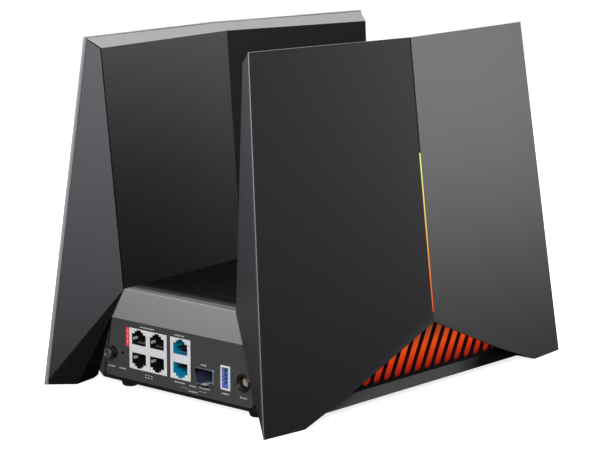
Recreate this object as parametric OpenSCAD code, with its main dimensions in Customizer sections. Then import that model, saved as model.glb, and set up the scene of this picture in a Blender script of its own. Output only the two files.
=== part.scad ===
// Wireless router: a low louvred body carried between two tall folded antenna wings.
// Millimetres. +Z is up and the sockets face +Y. The origin is on the table,
// under the centre of the footprint. "left" is -X, as seen from the front (-Y).

/* [Wings] */
// Height of the wings above the table
wing_h = 215; // [205:1:225]
// Foot tip of a wing, distance from the centre across
tip_x = 92; // [91:0.5:94]
// Foot tip of a wing, distance from the centre front to back
tip_y = 142.6; // [140:0.1:145]
// Top corner of a wing, distance from the centre across
top_x = 67.2; // [65:0.1:69]
// Top corner of a wing, distance from the centre front to back
top_y = 127.4; // [125:0.1:129]
// Top of the outward crease, distance from the centre across
crease_x = 79.3; // [78:0.1:81]
// Top of a wing's inner wall, distance from the centre across, at its end
inner_tip_x = 57.6; // [56:0.1:59]
// Top of a wing's inner wall, distance from the centre across, at its middle
inner_mid_x = 70.8; // [70:0.1:72]
// Drop from the outer edge of a wing's top to its inner edge
top_drop = 6.7; // [5:0.1:8]
// Gap between the wings' feet and the table
wing_gap = 0.5; // [0.3:0.1:1]
// Thickness of the outer panel
panel_t = 2.4; // [2:0.1:2.6]
// Thickness of the frame's skin behind the outer panel
skin_t = 2; // [1.6:0.1:2.2]
// Thickness of the inner cover and the end facets
cover_t = 2.2; // [1.8:0.1:2.4]
// Thickness of the outer panel's lip beside the strip along the top
lip_t = 1.2; // [1:0.1:1.4]
// Width of the seams round the inner cover
seam = 0.8; // [0.4:0.1:1]

/* [Underside notch] */
// End of the flat foot, distance from the centre front to back
foot_end_y = 112.6; // [110:0.1:114]
// Middle point of the notch's edge, distance from the centre front to back
notch_mid_y = 70.6; // [68:0.1:74]
// Middle point of the notch's edge, height
notch_mid_z = 15.3; // [14.5:0.1:16]
// Height of the notch under the crease
notch_top = 45; // [42:1:47]

/* [Body] */
// Height of the louvred deck
deck_z = 63; // [62:0.5:65]
// Deck's end edges, distance from the centre
deck_y = 116.9; // [116:0.1:118]
// Faces of the rear and front panels, distance from the centre
face_y = 118.5; // [118.3:0.1:120]
// Half width of the deck at its ends, between the wings
knee_x = 46.4; // [46:0.1:48]
// Top edge of the rear panel, height
panel_top = 44.5; // [43:0.5:45.5]
// Bottom edge of the rear panel, height
panel_low = 8; // [7:0.1:9]
// Half width of the rear panel at its top
panel_top_x = 55.7; // [55:0.1:56]
// Half width of the body at its bottom, in line with the rear panel
panel_low_x = 62.7; // [62:0.1:64]
// Half width of the base
base_x = 91.6; // [91:0.1:91.8]
// Where the base's straight sides end, distance from the centre
base_side_y = 100; // [98:0.5:101]
// Underside of the base, height, which is the feet's height
base_z = 5; // [4.5:0.1:5.5]
// Top of the base's plain side walls, height
side_top = 12.2; // [11.8:0.1:13]
// Wall thickness of the base
wall_t = 2.4; // [2:0.1:2.6]

/* [Louvres and grilles] */
// Pitch of the louvre slots
louvre_pitch = 5.9; // [5.5:0.1:6.5]
// Width of a louvre slot
louvre_slot = 2.4; // [2:0.1:2.8]
// Pitch of the side grille's slots
grille_pitch = 9.65; // [9:0.05:10]
// Width of a rib between the side grille's slots
grille_rib = 1; // [0.8:0.1:1.4]
// Lean of the side grille's slots towards the front, per unit of height
grille_lean = 0.49; // [0.3:0.01:0.6]

/* [Sockets] */
// Width of a network socket's opening
jack_w = 11.7; // [11.6:0.1:12]
// Height of a network socket's opening
jack_h = 6.7; // [6.5:0.1:7]
// Pitch of the network sockets, across
jack_pitch = 15.4; // [15:0.1:16]
// Centre of the four network sockets, across
lan_x = 24.75; // [24:0.05:25]
// Centre of the two fast network sockets, across
wan_x = -2.6; // [-3:0.1:-2]
// Centre of the optical module's cage, across
sfp_x = -22.6; // [-23:0.1:-22]
// Centre of the USB socket, across
usb_x = -39.6; // [-40:0.1:-39]
// Centre of the power inlet, across
inlet_x = -53.8; // [-54:0.1:-53]
// Centre of the power button, across
button_x = 54.8; // [54:0.1:55]
// Centre of the reset hole, across
reset_x = 46.4; // [46:0.1:47]
// Travel of the power button
button_travel = 1.8; // [1:0.1:2]
// Travel of the reset button
reset_travel = 0.5; // [0.3:0.1:0.7]

/* [Hidden] */

$fn = 48;
far = 60;        // distance by which a cutting block overshoots a wing's faces
big = 400;       // half size of the block that stands for a half-space
fit_gap = 0.1;   // gap between parts that are assembled face to face
slide_gap = 0.05; // radial gap round the button stems
lip_gap = 0.3;   // seam between the outer panel's lip and the strip along the top

// Key points of one quarter of a wing, at +X and +Y
inner_top_z = wing_h - top_drop;
foot_tip = [tip_x, tip_y, 0];
top_tip = [top_x, top_y, wing_h];
crease_top = [crease_x, 0, wing_h];
knee = [knee_x, deck_y, deck_z];
heel = [77.5, 128.5, 0];
toe = [79.1, 120.8, 0];

function unit(v) = v / norm(v);
// A plane is a point and its outward normal
function plane3(a, b, c) = [a, unit(cross(b - a, c - a))];
function solve_x(plane, y, z) =
    plane[0][0] - (plane[1][1] * (y - plane[0][1]) + plane[1][2] * (z - plane[0][2])) / plane[1][0];
function solve_y(plane, x, z) =
    plane[0][1] - (plane[1][0] * (x - plane[0][0]) + plane[1][2] * (z - plane[0][2])) / plane[1][1];

outer_plane = plane3(foot_tip, top_tip, crease_top);
end_plane = plane3(foot_tip, knee, top_tip);
inner_tip = [inner_tip_x, solve_y(end_plane, inner_tip_x, inner_top_z), inner_top_z];
inner_mid = [inner_mid_x, 0, inner_top_z];
inner_plane = plane3(knee, inner_mid, inner_tip);
top_plane = plane3(crease_top, top_tip, inner_tip);
mid_plane = [[0, 0, 0], [0, -1, 0]];
// Mitres between the end facets and the inner cover, facing the end
wall_mitre = [knee, unit(end_plane[1] - inner_plane[1])];
strip_mitre = [inner_tip, unit(end_plane[1] - top_plane[1])];
low_plane = plane3(knee, foot_tip, heel);
return_plane = plane3(knee, heel, toe);
ground_plane = [[0, 0, wing_gap], [0, 0, -1]];
notch_low_plane = [[0, foot_end_y, 0], unit([0, -notch_mid_z, notch_mid_y - foot_end_y])];
notch_high_plane = [[0, 0, notch_top], unit([0, notch_mid_z - notch_top, -notch_mid_y])];
flank_plane = plane3([panel_low_x, face_y, base_z], [panel_top_x, face_y, panel_top],
    [base_x, base_side_y, base_z]);

function outer_x(y, z) = solve_x(outer_plane, abs(y), z);
function inner_x(y, z) = solve_x(inner_plane, abs(y), z);
function notch_z(y) = abs(y) > notch_mid_y
    ? notch_mid_z * (foot_end_y - abs(y)) / (foot_end_y - notch_mid_y)
    : notch_mid_z + (notch_top - notch_mid_z) * (1 - abs(y) / notch_mid_y);

function flipped(plane) = [plane[0], -plane[1]];

// Everything below a plane, moved inwards by inset
module half_space(plane, inset = 0) {
    n = plane[1];
    translate(plane[0] - inset * n)
        rotate([0, acos(n[2]), atan2(n[1], n[0])])
            translate([-big, -big, -2 * big]) cube(2 * big);
}

module quarters() for (mx = [0, 1], my = [0, 1]) mirror([mx, 0, 0]) mirror([0, my, 0]) children();
module two_ends() for (my = [0, 1]) mirror([0, my, 0]) children();
module on_side(side) mirror([side < 0 ? 1 : 0, 0, 0]) children();

// A whole wing at +X, each face moved inwards by its own inset
module wing_block(outer = 0, end = 0, inner = 0, top = 0, low = 0, notch = 0) {
    two_ends() intersection() {
        half_space(outer_plane, outer);
        half_space(end_plane, end);
        half_space(inner_plane, inner);
        half_space(top_plane, top);
        half_space(mid_plane);
        half_space(low_plane, low);
        half_space(notch_low_plane, notch);
        half_space(notch_high_plane, notch);
        half_space(ground_plane);
    }
}

// The same wing, open on every face but the one that is named
module wing_core(outer = -far, end = -far, inner = -far, top = -far, low = -far, notch = -far)
    wing_block(outer, end, inner, top, low, notch);

// The foot outside the body's flank, at +X and +Y; open makes the matching cavity
module foot_block(inset = 0, open = 0) {
    frame_in = panel_t + fit_gap;
    intersection() {
        half_space(outer_plane, frame_in + inset);
        half_space(end_plane, inset);
        half_space(low_plane, inset);
        half_space(return_plane, inset);
        half_space(notch_low_plane, inset);
        half_space(ground_plane, inset);
        half_space(flipped(flank_plane), fit_gap - open);
        half_space([[0, 0, deck_z - 2], [0, 0, 1]], -open);
    }
}

// A rail in the crease's mid plane, from depth d0 to d1 behind the crease line
module crease_rail(d0, d1, z0, z1, w) {
    rotate([90, 0, 0]) linear_extrude(w, center = true)
        polygon([[outer_x(0, z0) - d0, z0], [outer_x(0, z1) - d0, z1],
            [outer_x(0, z1) - d1, z1], [outer_x(0, z0) - d1, z0]]);
}

module rod(p, q, r) {
    d = q - p;
    translate(p) rotate([0, acos(d[2] / norm(d)), atan2(d[1], d[0])]) cylinder(h = norm(d), r = r);
}

// Drawn in the plane of the rear panel and pushed back from y by depth
module from_face(y, depth) translate([0, y, 0]) rotate([90, 0, 0]) linear_extrude(depth) children();
module disc_back(x, z, y, depth, r) translate([x, y, z]) rotate([90, 0, 0]) cylinder(h = depth, r = r);
module box_at(low, high) translate(low) cube(high - low);

// ---- Wings ----
slot_low = 50.9;     // bottom of the crease slot
light_top = 146.2;   // top of the lit stretch
slot_w = 1.3;        // width of the crease slot
bar_w = 1.1;         // width of the light bar in the slot
flange_low = 54.9;   // where the light bar's flange and its board start
rise = 6;            // the frame's skin starts this far above the notch
post_x = 80;         // screw posts of the wings
post_y = 50;
post_r = 4;
pilot_r = 1.5;
shank_r = 1.4;

// The room for the strip along the top, up to the outer panel's lip
module strip_room() difference() {
    two_ends() intersection() {
        half_space(outer_plane, lip_t);
        half_space(strip_mitre);
        half_space(mid_plane);
    }
    wing_core(top = cover_t + fit_gap);
}

module outer_panel(side) color([0.22, 0.22, 0.24]) on_side(side) difference() {
    wing_block();
    wing_core(outer = panel_t);
    strip_room();
    crease_rail(-3, panel_t + 3, slot_low, wing_h + 5, slot_w);
}

module wing_skin() difference() {
    wing_block(outer = panel_t + fit_gap, top = cover_t + fit_gap, notch = rise);
    wing_core(outer = panel_t + fit_gap + skin_t);
    crease_rail(0, 12, flange_low, light_top + 0.3, slot_w);
    box_at([0, -base_side_y - 1, 0], [base_x + 0.4, base_side_y + 1, side_top + 0.4]);
}

module half_wing(outer) intersection() {
    wing_block(outer = outer);
    half_space(mid_plane);
}

// What lies under the deck on the body's side of the foot's inner face
module beside_foot() intersection() {
    half_space(flipped(return_plane));
    half_space([knee, [0, 0, 1]]);
}

module end_facets() two_ends() difference() {
    half_wing(panel_t + fit_gap);
    wing_core(end = cover_t);
    half_space(wall_mitre, -seam / 2);
    half_space(strip_mitre, -seam / 2);
    beside_foot();
}

module saddle() intersection() {
    difference() {
        wing_block(outer = panel_t + fit_gap, notch = rise);
        wing_core(notch = rise + 2);
    }
    box_at([post_x - post_r - 1, -82, 12], [110, 82, 60]);
}

module wing_post() translate([post_x, post_y, base_z + wall_t + fit_gap]) difference() {
    cylinder(h = notch_z(post_y) + rise - base_z, r = post_r);
    translate([0, 0, -1]) cylinder(h = 14, r = pilot_r);
}

module foot_shell() difference() {
    foot_block();
    foot_block(inset = 2, open = 5);
}

module wing_frame(side) color([0.33, 0.34, 0.36]) on_side(side) {
    wing_skin();
    end_facets();
    saddle();
    two_ends() {
        foot_shell();
        wing_post();
    }
}

module inner_cover(side) color([0.5, 0.5, 0.51]) on_side(side) intersection() {
    two_ends() {
        difference() {
            half_wing(lip_t + lip_gap);
            wing_core(top = cover_t);
            half_space(flipped(strip_mitre), -seam / 2);
        }
        difference() {
            half_wing(panel_t + skin_t + 2 * fit_gap);
            wing_core(inner = cover_t);
            half_space(flipped(wall_mitre), -seam / 2);
        }
    }
    box_at([0, -tip_y, deck_z + fit_gap], [tip_x + 20, tip_y, wing_h + 10]);
}

module light_bar(side) color([0.95, 0.7, 0.3]) on_side(side) {
    crease_rail(fit_gap, panel_t, slot_low + fit_gap, light_top, bar_w);
    crease_rail(panel_t, 6.2, flange_low + fit_gap, light_top, bar_w);
    crease_rail(5, 6.2, flange_low + fit_gap, light_top, 6);
}

module crease_trim(side) color([0.05, 0.05, 0.05]) on_side(side) intersection() {
    crease_rail(fit_gap, panel_t, light_top + fit_gap, wing_h, bar_w);
    wing_core(top = cover_t + 2 * fit_gap);
}

// The strip of light sources behind the light bar
module light_board(side) color([0.1, 0.3, 0.15]) on_side(side) {
    crease_rail(7.4, 8.6, flange_low, light_top, 10);
    for (z = [60:9:141]) crease_rail(6.3, 7.4, z, z + 3, 3);
}

antenna_y = [24, 62];      // middles of the antenna boards in each half of a wing
antenna_z = [96, 84];      // their lower ends
antenna_len = 78;
antenna_w = 13;
antenna_in = panel_t + skin_t + 2 * fit_gap;
cable_r = 0.9;
socket_x = 68;

module antennas(side) color([0.75, 0.6, 0.3]) on_side(side) two_ends() for (i = [0, 1])
    intersection() {
        difference() {
            wing_block(outer = antenna_in, inner = cover_t + 1);
            wing_core(outer = antenna_in + 1);
        }
        box_at([0, antenna_y[i] - antenna_w / 2, antenna_z[i]],
            [120, antenna_y[i] + antenna_w / 2, antenna_z[i] + antenna_len]);
    }

function cable_route(i) = [
    [outer_x(antenna_y[i], antenna_z[i]) - antenna_in - 4, antenna_y[i], antenna_z[i] + 6],
    [78, antenna_y[i], 70], [70, antenna_y[i], 42], [socket_x, antenna_y[i], 17]];

module antenna_cables(side) color([0.08, 0.08, 0.08]) on_side(side) two_ends() for (i = [0, 1]) {
    route = cable_route(i);
    for (k = [0:2])
        rod(route[k], route[k + 1] + (k < 2 ? cable_r : 0) * unit(route[k + 1] - route[k]), cable_r);
}

// ---- Body shell ----
floor_top = base_z + wall_t;
skin_clear = panel_t + skin_t + 5 * fit_gap;
panel_back = face_y - cover_t;
board_top = 15;
board_t = 1.6;
cover_post = [42, 92];
stand_offs = [[66, 0], [66, 44], [66, 76], [6, 72]];
foot_pos = [53.5, 106];
foot_r = 6.3;
foot_sole_r = 4.3;
foot_inset = 1;     // depth by which a rubber foot is let into the underside

// One quarter of the base's outside, each face moved inwards by its own inset
module base_quarter(side_in = 0, floor_in = 0, top = side_top, rear = panel_back - fit_gap)
    intersection() {
        half_space(flank_plane, side_in);
        box_at([-0.5, -0.5, base_z + floor_in], [base_x - side_in, rear, top]);
    }

// The flank beside the rear panel, from the base up to the deck's end plate
module flank_wall() difference() {
    intersection() {
        base_quarter(top = panel_top);
        half_space(outer_plane, skin_clear);
    }
    half_space(flank_plane, 2);
}

case_head_r = 2.8;
case_head_h = 1.3;
module screw_hole(x, y) translate([x, y, base_z]) {
    translate([0, 0, -1]) cylinder(h = wall_t + 2, r = 1.7);
    translate([0, 0, -1]) cylinder(h = case_head_h + 1.1, r = case_head_r + 0.3);
}

// Air slots in the underside, in two fields either side of the middle
vent_size = [30, 3];
vent_pitch = 8;
module floor_vents() for (mx = [0, 1], i = [-7:7]) mirror([mx, 0, 0])
    translate([10, i * vent_pitch - vent_size[1] / 2, base_z - 1]) cube([vent_size[0], vent_size[1], 5]);

module base_tray() color([0.3, 0.3, 0.31]) {
    difference() {
        quarters() base_quarter();
        quarters() base_quarter(side_in = wall_t, floor_in = wall_t, top = side_top + 1,
            rear = panel_back - fit_gap - 2);
        quarters() {
            screw_hole(post_x, post_y);
            screw_hole(cover_post[0], cover_post[1]);
            translate([foot_pos[0], foot_pos[1], base_z - foot_inset])
                cylinder(h = 2 * foot_inset, r = foot_r + fit_gap);
        }
        floor_vents();
    }
    quarters() {
        flank_wall();
        for (p = stand_offs) translate([p[0], p[1], floor_top - 0.5]) difference() {
            cylinder(h = board_top - board_t - floor_top + 0.5, r = 3);
            translate([0, 0, 1]) cylinder(h = 10, r = 1.2);
        }
    }
}

// Outline of a quarter of the deck, with a ledge that the inner covers stand on
ledge_end = 113;
module deck_quarter() polygon([[0, 0], [inner_x(0, deck_z) + 2, 0],
    [inner_x(ledge_end, deck_z) + 2, ledge_end], [inner_x(ledge_end, deck_z) - 0.3, ledge_end],
    [inner_x(deck_y, deck_z) - 0.3, deck_y], [0, deck_y]]);

deck_t = 3;
louvre_count = 19;   // slots on each side of the middle one
module louvre_slots() for (i = [-louvre_count:louvre_count]) {
    half = inner_x(i * louvre_pitch, deck_z) - 1.6;
    translate([-half, i * louvre_pitch - louvre_slot / 2, deck_z - deck_t - 1])
        cube([2 * half, louvre_slot, deck_t + 2]);
}

// The plain plate under the deck's end edge, down to the panel's top edge
module end_plate() intersection() {
    rotate([90, 0, 90]) linear_extrude(2 * panel_top_x + 4, center = true)
        polygon([[deck_y, deck_z], [face_y, panel_top + fit_gap],
            [face_y - cover_t, panel_top + fit_gap], [deck_y - cover_t - 1, deck_z]]);
    for (mx = [0, 1]) mirror([mx, 0, 0]) intersection() {
        half_space([return_plane[0] + 0.3 * return_plane[1], -return_plane[1]]);
        box_at([-0.5, 0, 0], [100, face_y + 1, deck_z]);
    }
}

module top_cover() color([0.47, 0.47, 0.48]) {
    difference() {
        translate([0, 0, deck_z - deck_t]) linear_extrude(deck_t) quarters() deck_quarter();
        louvre_slots();
    }
    for (x = [-40:20:40]) box_at([x - 0.8, -ledge_end - 1, deck_z - deck_t - 2.5],
        [x + 0.8, ledge_end + 1, deck_z - deck_t + 0.6]);
    two_ends() end_plate();
    quarters() translate([cover_post[0], cover_post[1], floor_top + fit_gap]) difference() {
        cylinder(h = deck_z - deck_t + 0.5 - floor_top, r = 3.5);
        translate([0, 0, -1]) cylinder(h = 14, r = pilot_r);
    }
}

corner_cut = 2.4;  // bevel at the panels' lower corners
// Half width of the panels at a height
function panel_x(z) = panel_top_x + (panel_low_x - panel_top_x) * (panel_top - z) / (panel_top - base_z);
module face_outline() polygon([[-panel_top_x, panel_top], [panel_top_x, panel_top],
    [panel_x(panel_low + corner_cut), panel_low + corner_cut],
    [panel_x(panel_low) - corner_cut, panel_low], [corner_cut - panel_x(panel_low), panel_low],
    [-panel_x(panel_low + corner_cut), panel_low + corner_cut]]);

// Heights of the network sockets' openings and of their housing
jack_z = [22, 33.85];
block_z = [15.3, 40.4];
block_w = [jack_pitch + 16.6, 16.8];
sfp_z = 20.4;
sfp_size = [15, 9.8];
usb_z = 22.7;
usb_size = [7.5, 14.5];
inlet_z = 22.1;
inlet_r = 4.85;
button_z = 22.9;
button_r = 3.1;
button_gap = 0.7;
reset_z = 23.7;
pin_hole_r = 0.95;

module window(x, z0, z1, w) translate([x - w / 2 - fit_gap, z0 - fit_gap])
    square([w + 2 * fit_gap, z1 - z0 + 2 * fit_gap]);

module rear_panel() color([0.21, 0.21, 0.22]) from_face(face_y, cover_t) difference() {
    face_outline();
    window(lan_x, block_z[0], block_z[1], block_w[0]);
    window(wan_x, block_z[0], block_z[1], block_w[1]);
    window(sfp_x, sfp_z - sfp_size[1] / 2, sfp_z + sfp_size[1] / 2, sfp_size[0]);
    window(usb_x, usb_z - usb_size[1] / 2, usb_z + usb_size[1] / 2, usb_size[0]);
    translate([inlet_x, inlet_z]) circle(r = inlet_r + fit_gap);
    translate([button_x, button_z]) circle(r = button_r + button_gap);
    translate([reset_x, reset_z]) circle(r = pin_hole_r);
}

module front_panel() color([0.21, 0.21, 0.22]) mirror([0, 1, 0]) from_face(face_y, cover_t)
    face_outline();

module rubber_feet() color([0.07, 0.07, 0.07]) quarters() translate([foot_pos[0], foot_pos[1], 0]) {
    cylinder(h = base_z, r1 = foot_sole_r, r2 = foot_r);
    translate([0, 0, base_z - 0.1]) cylinder(h = foot_inset, r = foot_r);
}

// ---- Side grilles and the glow behind them ----
grille_t = wall_t - fit_gap;
grille_half = 81.5;
grille_edge = 1.5;    // width of the plain edge round the slots
grille_phase = 0.33;  // where the slots' pattern starts, front to back
glow_t = 1.9;

module grille_outline(drop = 0, z0 = side_top + fit_gap) polygon([
    [-grille_half + 2 * drop, z0 + drop], [grille_half - 2 * drop, z0 + drop],
    [notch_mid_y - drop, notch_z(notch_mid_y) + rise - drop], [0, notch_z(0) + rise - drop],
    [-notch_mid_y + drop, notch_z(notch_mid_y) + rise - drop]]);

module side_plate(x, t) translate([x, 0, 0]) rotate([90, 0, 90]) linear_extrude(t) children();

module side_grille(side) color([0.06, 0.05, 0.05]) on_side(side)
    side_plate(base_x - grille_t, grille_t) difference() {
        grille_outline();
        intersection() {
            grille_outline(drop = grille_edge);
            for (i = [-9:11])
                translate([i * grille_pitch + grille_phase, side_top + grille_edge]) polygon([[0, 0],
                [grille_pitch - grille_rib, 0],
                [grille_pitch - grille_rib - grille_lean * 40, 40], [-grille_lean * 40, 40]]);
        }
    }

module glow_guide(side) color([0.95, 0.4, 0.15]) on_side(side)
    side_plate(base_x - wall_t - fit_gap - glow_t, glow_t) grille_outline(drop = 1, z0 = floor_top - 0.9);

module glow_board(side) color([0.1, 0.3, 0.15]) on_side(side)
    box_at([84.2, -72, floor_top + fit_gap], [85.3, 72, 13]);

// ---- Main board and what it carries ----
fin_count = 6;
board_corners = [[74, 88], [60, 110]];  // the ends of each cut-off corner
module main_board() color([0.08, 0.22, 0.16])
    translate([0, 0, board_top - board_t]) linear_extrude(board_t) difference() {
        polygon([for (p = [[1, -1, 0], [1, 1, 0], [1, 1, 1], [-1, 1, 1],
            [-1, 1, 0], [-1, -1, 0], [-1, -1, 1], [1, -1, 1]])
            [p[0] * board_corners[p[2]][0], p[1] * board_corners[p[2]][1]]]);
        quarters() {
            for (p = stand_offs) translate(p) circle(r = 1.3);
            translate(cover_post) circle(r = 4);
        }
    }

cpu_at = [0, 12];
cpu_size = [22, 22, 1.5];
memory_at = [[-16, 12], [16, 12]];
memory_size = [8, 12, 1];
radio_at = [[-34, -40], [0, -44], [34, -40]];
radio_size = [14, 14, 1.2];
switch_chip_at = [20, 68];
switch_chip_size = [16, 16, 1.2];

// A block that stands at a height, centred on a point of the plan
module block(at, size, z = board_top) translate([at[0] - size[0] / 2, at[1] - size[1] / 2, z]) cube(size);

module chips() color([0.1, 0.1, 0.11]) {
    block(cpu_at, cpu_size);
    for (p = memory_at) block(p, memory_size);
    for (p = radio_at) block(p, radio_size);
    block(switch_chip_at, switch_chip_size);
}

can_h = 3;
can_wall = 0.5;
module can(at, size) difference() {
    block(at, [size[0], size[1], can_h]);
    block(at, [size[0] - 2 * can_wall, size[1] - 2 * can_wall, can_h], board_top - can_wall);
}

module shield_cans() color([0.72, 0.72, 0.7]) {
    can(cpu_at, [48, 42]);
    for (p = radio_at) can(p, [28, 34]);
}

pad_size = 22;
pad_t = 1.5;
spreader_size = [104, 132, 1.5];
spreader_z = floor_top + fit_gap;
module thermal_pads() color([0.65, 0.66, 0.7]) for (p = concat([cpu_at], radio_at)) {
    block(p, [pad_size, pad_size, pad_t], board_top + can_h);
    block(p, [pad_size, pad_size, board_top - board_t - spreader_z - spreader_size[2]],
        spreader_z + spreader_size[2]);
}

sink_size = [92, 144, 3.5];
sink_z = board_top + can_h + pad_t;
sink_leg = [41, 66];
fin_t = 1.8;
fin_h = 30;
fin_pitch = 7;
module heat_sink() color([0.62, 0.63, 0.65]) {
    block([0, 0], sink_size, sink_z);
    for (i = [-fin_count:fin_count])
        block([i * fin_pitch, 0], [fin_t, sink_size[1], fin_h], sink_z + sink_size[2] - 0.5);
    quarters() translate([sink_leg[0], sink_leg[1], board_top]) cylinder(h = 5, r = 3);
}

module heat_spreader() color([0.7, 0.7, 0.72]) block([0, 0], spreader_size, spreader_z);

transformer_y = 89;
transformer_d = 10;
transformer_h = 4;
module network_transformers() color([0.09, 0.09, 0.1]) {
    for (x = [16.5, 30.5]) block([x, transformer_y], [11, transformer_d, transformer_h]);
    block([-2.5, transformer_y], [15, transformer_d, transformer_h]);
}

module capacitors() color([0.25, 0.25, 0.3]) {
    for (y = [84, 93]) translate([-54, y, board_top]) cylinder(h = 9, r = 3.4);
    for (y = [30, 40]) translate([-57, y, board_top]) cylinder(h = 7, r = 2.6);
}

module antenna_sockets() color([0.8, 0.65, 0.3]) quarters() for (y = antenna_y)
    translate([socket_x, y, board_top]) cylinder(h = 1.8, r = 1.5);

// ---- Sockets ----
jack_depth = 20;
cavity_depth = 13;

// Outline of one network socket's opening; up is 1 with its latch slot on top
module jack_outline(up) mirror([0, up > 0 ? 0 : 1]) {
    translate([-jack_w / 2, -jack_h / 2]) square([jack_w, jack_h]);
    translate([-3.65, 0]) square([7.3, jack_h / 2 + 1.5]);
    translate([-1.85, 0]) square([3.7, jack_h / 2 + 2.5]);
}

module jack_block(x, w, xs) difference() {
    box_at([x - w / 2, face_y - jack_depth, block_z[0]], [x + w / 2, face_y, block_z[1]]);
    for (jx = xs, row = [0, 1]) translate([jx, 0, jack_z[row]])
        from_face(face_y + 1, cavity_depth + 1) jack_outline(row > 0 ? 1 : -1);
}

lan_xs = [lan_x - jack_pitch / 2, lan_x + jack_pitch / 2];
module lan_jacks() color([0.9, 0.9, 0.9]) jack_block(lan_x, block_w[0], lan_xs);
module wan_jacks() color([0.1, 0.55, 0.7]) jack_block(wan_x, block_w[1], [wan_x]);

// Eight sprung contacts in each socket, on the side away from its latch slot
contact_pitch = 1.02;
contact_size = [0.4, 8, 0.7];
module jack_contacts() color([0.85, 0.68, 0.3])
    for (jx = concat(lan_xs, [wan_x]), row = [0, 1], i = [0:7])
        translate([jx + (i - 3.5) * contact_pitch - contact_size[0] / 2, face_y - cavity_depth + 0.2,
            jack_z[row] + (row > 0 ? 0.4 - jack_h / 2 : jack_h / 2 - 0.4 - contact_size[2])])
            cube(contact_size);

module shell_tube(x, z, size, wall, y0, y1) difference() {
    box_at([x - size[0] / 2, y0, z - size[1] / 2], [x + size[0] / 2, y1, z + size[1] / 2]);
    box_at([x - size[0] / 2 + wall, y0 + 1, z - size[1] / 2 + wall],
        [x + size[0] / 2 - wall, y1 + 1, z + size[1] / 2 - wall]);
}

module sfp_cage() color([0.75, 0.76, 0.78]) {
    shell_tube(sfp_x, sfp_z, sfp_size, 0.5, 77, face_y + 0.5);
    for (x = [-6, 6], y = [82, 98, 112]) translate([sfp_x + x, y, board_top])
        cylinder(h = sfp_z - sfp_size[1] / 2 - board_top + 0.1, r = 0.6);
}

module sfp_connector() color([0.09, 0.09, 0.1])
    box_at([sfp_x - 5.5, 78.2, sfp_z - 3], [sfp_x + 5.5, 84, sfp_z + 1.5]);

module usb_shell() color([0.88, 0.88, 0.88]) {
    shell_tube(usb_x, usb_z, usb_size, 1.1, 103, face_y + 0.4);
    for (y = [106, 112]) translate([usb_x, y, board_top])
        cylinder(h = usb_z - usb_size[1] / 2 - board_top + 0.1, r = 1);
}

module usb_tongue() color([0.1, 0.4, 0.85])
    box_at([usb_x - 2, 104.1, usb_z - 5.3], [usb_x - 0.2, face_y - 1, usb_z + 5.3]);

inlet_body = [10, 101, 114];  // width, back and front of the inlet's square body
inlet_bore_r = 3.65;
inlet_bore_end = 108.5;
sleeve_r = 2.9;
sleeve_bore_r = 1.3;
sleeve_front = 116.2;
module power_inlet() color([0.07, 0.07, 0.08]) difference() {
    union() {
        box_at([inlet_x - inlet_body[0] / 2, inlet_body[1], board_top],
            [inlet_x + inlet_body[0] / 2, inlet_body[2], inlet_z + 5.5]);
        disc_back(inlet_x, inlet_z, face_y + 0.4, 6, inlet_r);
    }
    disc_back(inlet_x, inlet_z, face_y + 2, face_y + 2 - inlet_bore_end, inlet_bore_r);
}

module inlet_sleeve() color([0.72, 0.68, 0.6]) difference() {
    disc_back(inlet_x, inlet_z, sleeve_front, sleeve_front - inlet_bore_end, sleeve_r);
    disc_back(inlet_x, inlet_z, face_y, 9, sleeve_bore_r);
}

// ---- Buttons ----
switch_front = 112;
stem_r = 1.5;
stem_end = 103.5;
module power_switch() color([0.09, 0.09, 0.1]) difference() {
    box_at([button_x - 4.9, 96, board_top], [button_x + 4.9, switch_front, button_z + 5.5]);
    disc_back(button_x, button_z, switch_front + 1,
        switch_front - stem_end + button_travel + 2.2, stem_r + slide_gap);
}

module power_button() color([0.15, 0.15, 0.16]) {
    disc_back(button_x, button_z, face_y + 5, 9, button_r);
    disc_back(button_x, button_z, face_y - 3.5, face_y - 3.5 - stem_end, stem_r);
}

plunger_r = 1.2;
plunger_end = 107.5;
reset_front = 111.5;
module reset_switch() color([0.09, 0.09, 0.1]) difference() {
    box_at([reset_x - 2.6, 103, board_top], [reset_x + 2.6, reset_front, reset_z + 2.9]);
    disc_back(reset_x, reset_z, reset_front + 1,
        reset_front - plunger_end + reset_travel + 1.5, plunger_r + slide_gap);
}

module reset_button() color([0.8, 0.8, 0.78])
    disc_back(reset_x, reset_z, face_y - 3.7, face_y - 3.7 - plunger_end, plunger_r);

// ---- Screws ----
module screw(length, r, head_r, head_h) {
    cylinder(h = head_h, r = head_r);
    cylinder(h = head_h + length, r = r);
}

module board_screws() color([0.7, 0.7, 0.7]) quarters() for (p = stand_offs)
    translate([p[0], p[1], board_top + 1.4]) mirror([0, 0, 1]) screw(6, 1.1, 2.3, 1.4);

module cover_screws() color([0.2, 0.2, 0.2]) quarters()
    translate([cover_post[0], cover_post[1], base_z + 0.05]) screw(11, shank_r, case_head_r, case_head_h);

module wing_screws() color([0.2, 0.2, 0.2]) quarters()
    translate([post_x, post_y, base_z + 0.05]) screw(11, shank_r, case_head_r, case_head_h);

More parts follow.
